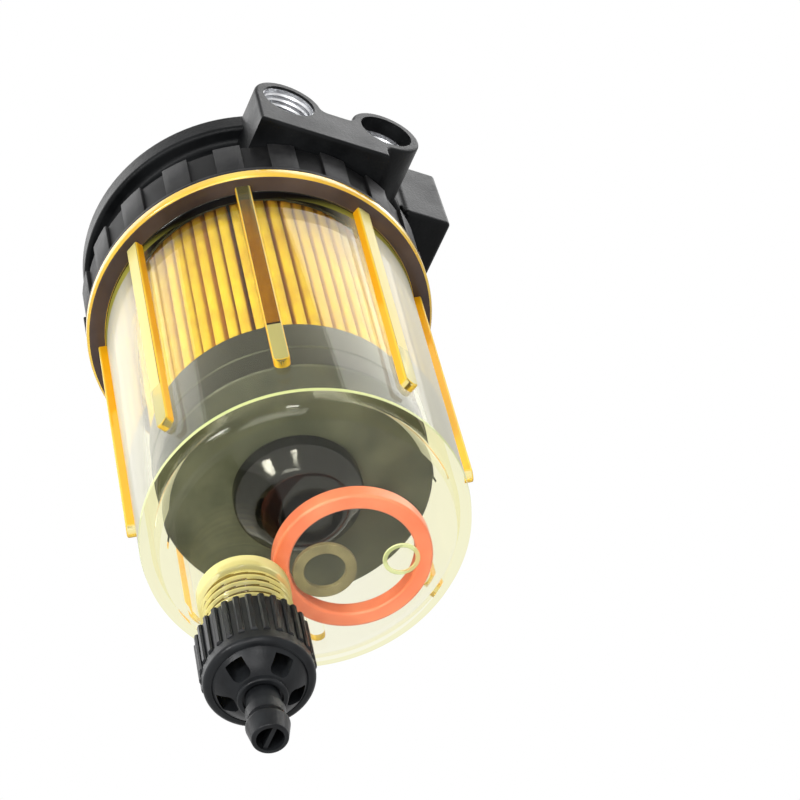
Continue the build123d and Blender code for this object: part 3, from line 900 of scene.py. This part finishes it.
def bowl_finish(centre, normal):
    """Which of the bowl's finishes a face takes, from where it lies and how it faces; several of
    them are painted shade, painted reflection and painted glow.

    The numbers compared with outward and normal.z are parts of the normal, from -1 to 1.
    """
    height = centre.z
    radius = centre.xy.length
    out = centre.xy.normalized()
    outward = Vector((out.x, out.y, 0)).dot(normal)
    from_drain = (centre.xy - Vector(DRAIN)).length
    if height < BELOW_FLOOR:
        if from_drain >= NECK_REACH:
            return "corner_line"
        threaded = GROOVE_LOW < height < GROOVE_HIGH and GROOVE_INNER < from_drain < GROOVE_OUTER
        return "groove" if threaded else "neck"
    if radius > RIM_INNER and height < RIM_TOP and (outward > 0.3 or height > FLANGE_HIGH):
        return "flange_edge"
    if radius > FLANGE_INNER and FLANGE_LOW < height < FLANGE_HIGH and normal.z < -0.5:
        return "flange"
    if radius > wall_radius(height) + RIB_STANDS_OFF and RIBS_LOW < height < RIBS_HIGH:
        if outward > 0.97:
            return "rib" if height > RIB_PALE else "rib_foot"
        return "rib_edge" if outward > 0.15 or normal.z < -0.6 else "rib_side"
    if radius < INSIDE_RADIUS and height < WALL_HIGH and (outward < -0.02 or normal.z > 0.3):
        return "inside"
    if height < FLOOR_UNDERSIDE and normal.z < -0.9:
        return "inside"
    if SHADE_FOOT < height < WALL_HIGH and outward > 0:
        return "shade"
    if radius > CORNER_INNER and height < CORNER_HIGH and normal.z < 0 and outward > 0.05:
        return "corner_line" if height > CORNER_LINE else "corner"
    return "wall"


def bowl():
    """The clear moulding with its flange, ribs, rounded foot and threaded drain neck."""
    bm = turned(BOWL_SECTION, BOWL_STEPS, hub=True)
    cut_line(bm, SHADE_FOOT)
    cut_line(bm, CORNER_LINE)
    added = threaded_neck()
    for count in range(RIBS):
        join(added, bowl_rib(RIB_ANGLE + count * 360 / RIBS))
    join(added, turned(GATE_SECTION, GATE_STEPS, centre=GATE_MARK))
    bm = combine(bm, added, "UNION")
    bm = combine(bm, turned(NECK_BORE, NECK_STEPS, hub=True, centre=DRAIN), "DIFFERENCE")
    slots = list(BOWL_FINISHES)
    for face in bm.faces:
        face.material_index = slots.index(bowl_finish(face.calc_center_median(), face.normal))
    piece(
        bm, "clear_bowl", BOWL_FINISHES.values(),
        "bowl_assembly", ["bowl"],
    )


bowl()


# Port threads, each drawn upright from the mouth of its port at height 0

PORT_FACE = 47.0
PORT_HEIGHT = 27.4
OUTLET_SIDE = -7.6
INLET_SIDE = 18.7
OUTLET_START = 0.6
INLET_START = 4.0
SLEEVE_OUTER = 6.78
SLEEVE_INNER_START = 6.5
SLEEVE_INNER_END = 6.35
SLEEVE_STEPS = 64
THREAD_PITCH = 1.41
THREAD_DEPTH = 15.5
THREAD_STEPS = 48
RIDGE_ROOT = 6.6
RIDGE_CREST = 6.15
RIDGE_WIDTH = THREAD_PITCH * 0.9
RIDGE_MIDDLE = THREAD_PITCH * 0.45


def port_thread(side, across, start):
    """Bare metal of one port: a thin sleeve with a helical ridge, from start to its full depth."""
    bm = turned(
        [
            (SLEEVE_OUTER, -start), (SLEEVE_OUTER, -THREAD_DEPTH),
            (SLEEVE_INNER_END, -THREAD_DEPTH), (SLEEVE_INNER_START, -start),
        ],
        SLEEVE_STEPS,
    )
    turns = int((THREAD_DEPTH - start) / THREAD_PITCH) - 1
    low = -start - THREAD_PITCH
    section = [
        (RIDGE_ROOT, low), (RIDGE_ROOT, low + RIDGE_WIDTH), (RIDGE_CREST, low + RIDGE_MIDDLE),
    ]
    ridge = bmesh.new()
    outline_loop(ridge, section)
    bmesh.ops.spin(
        ridge, geom=ridge.verts[:] + ridge.edges[:], cent=ORIGIN, axis=UP, angle=math.tau * turns,
        dvec=(0, 0, -THREAD_PITCH / THREAD_STEPS), steps=THREAD_STEPS * turns,
        use_merge=False, use_duplicate=False,
    )
    close_ends(ridge)
    join(bm, ridge)
    mouth = Matrix.Translation((side * PORT_FACE, across, PORT_HEIGHT))
    place = mouth @ Matrix.Rotation(side * math.pi / 2, 4, "Y")
    bmesh.ops.transform(bm, matrix=place, verts=bm.verts[:])
    return bm


def port_threads():
    """The threads of all four ports, as one piece of bare metal."""
    bm = bmesh.new()
    for side in (-1, 1):
        join(bm, port_thread(side, OUTLET_SIDE, OUTLET_START))
        join(bm, port_thread(side, INLET_SIDE, INLET_START))
    piece(bm, "port_threads", [BARE_ALUMINIUM], "head_assembly")


port_threads()


# Filter element

PLEATS = 60
PLEAT_SEED = 11
PLEAT_LEAN = 0.07
PLEAT_SHORT = 0.25
# Where the sheet's edges lie across one pleat, which runs from 0 to 1
PLEAT_STOPS = [0.05, 0.12, 0.15, 0.22, 0.33, 0.44, 0.5, 0.56, 0.67, 0.78, 0.85, 0.88]
CREST_RADIUS = 30.6
VALLEY_RADIUS = 15.6
# A crest is part of an ellipse out to CREST_END, and the sheet's side falls from there to SIDE_END
CREST_DEPTH = 1.0
CREST_SPREAD = 0.41
CREST_END = 0.38
SIDE_END = 0.44
SIDE_TOP = CREST_RADIUS - 0.7
UNEVEN_FROM = VALLEY_RADIUS + 5
MEDIA_LOW = -69.2
MEDIA_HIGH = 9.7
MEDIA_ROWS = 24
PAPER_THICKNESS = 0.3
PAPER_SHARP = 60


def pleat_radius(phase):
    """Radius of the paper across one pleat, from its valley at 0 over its crest at 0.5."""
    across = abs(phase - 0.5)
    if across < CREST_END:
        return CREST_RADIUS - CREST_DEPTH * (1 - math.sqrt(1 - (across / CREST_SPREAD) ** 2))
    if across < SIDE_END:
        fall = (across - CREST_END) / (SIDE_END - CREST_END)
        return SIDE_TOP - (SIDE_TOP - VALLEY_RADIUS) * fall
    return VALLEY_RADIUS


def pleated_paper():
    """One folded sheet closed into a star, each crest a little uneven."""
    columns = len(PLEAT_STOPS)
    bm = bmesh.new()
    bmesh.ops.create_circle(bm, segments=PLEATS * columns, radius=1)
    jitter = random.Random(PLEAT_SEED)
    lean = [jitter.uniform(-PLEAT_LEAN, PLEAT_LEAN) for _ in range(PLEATS)]
    reach = [jitter.uniform(-PLEAT_SHORT, 0.0) for _ in range(PLEATS)]
    for index, vert in enumerate(sorted(bm.verts, key=lambda v: angle_of(v.co))):
        pleat, column = divmod(index, columns)
        phase = PLEAT_STOPS[column]
        angle = math.tau * (pleat + phase + lean[pleat]) / PLEATS
        radius = pleat_radius(phase)
        if radius > UNEVEN_FROM:
            radius += reach[pleat]
        vert.co = (radius * math.cos(angle), radius * math.sin(angle), MEDIA_LOW)
    ring = bm.edges[:]
    step = (MEDIA_HIGH - MEDIA_LOW) / MEDIA_ROWS
    for _ in range(MEDIA_ROWS):
        grown = bmesh.ops.extrude_edge_only(bm, edges=ring)["geom"]
        verts = [g for g in grown if isinstance(g, bmesh.types.BMVert)]
        ring = [g for g in grown if isinstance(g, bmesh.types.BMEdge)]
        bmesh.ops.translate(bm, verts=verts, vec=(0, 0, step))
    bmesh.ops.recalc_face_normals(bm, faces=bm.faces[:])
    sheet = piece(
        bm, "pleated_paper", [PAPER],
        "head_assembly", ["element_media"], sharp=PAPER_SHARP,
    )
    wall = sheet.modifiers.new("paper_thickness", "SOLIDIFY")
    wall.thickness = PAPER_THICKNESS * MM
    wall.offset = -1


pleated_paper()


CAP_SECTION = [
    (6.2, -70.7), (31.3, -70.7, 0.6), (31.3, -63.6), (31.55, -63.2), (31.55, -62.6),
    (31.3, -62.2), (31.3, -53.6, 0.2), (30.7, -53.6), (30.7, -69.2), (6.2, -69.2),
]
CAP_STEPS = 160
CAP_SIDE_RADIUS = 30
CAP_SIDE_NORMAL = 0.5


def bottom_cap():
    """The pressed cap under the pleats, with a bead round its side, which is painted darker than
    its underside as shade.
    """
    bm = turned(CAP_SECTION, CAP_STEPS)
    # Upright outer faces take the darker copy, painted shade
    for face in bm.faces:
        upright = abs(face.normal.z) < CAP_SIDE_NORMAL
        outer = face.calc_center_median().xy.length > CAP_SIDE_RADIUS
        face.material_index = 1 if upright and outer else 0
    piece(
        bm, "bottom_cap", [CAP_STEEL, CAP_SIDE],
        "head_assembly", ["element_bottom_cap"],
    )


bottom_cap()


# CAD nodes that keep their shape and take a finish

KEPT_NODES = {
    "head": HEAD_PAINT,
    "stem_tube": BARE_ALUMINIUM,
    "element_top_cap": CAP_STEEL,
    "element_core": CORE_STEEL,
    "element_grommet": SEAL_RUBBER,
    "foot_seal": SEAL_RUBBER,
    "retaining_knob": KNOB_PLASTIC,
    "bowl_gasket": SEAL_RUBBER,
    "float_ring": FLOAT_PLASTIC,
    "loose_washer": FIBRE_WASHER,
    "drain_valve": VALVE_PLASTIC,
    "drain_seat_seal": SEAL_RUBBER,
    "drain_piston_seal": SEAL_RUBBER,
}
for name, material in KEPT_NODES.items():
    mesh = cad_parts[name].data
    mesh.materials.clear()
    mesh.materials.append(material)


# Picture settings

bpy.context.scene.view_settings.view_transform = "Standard"
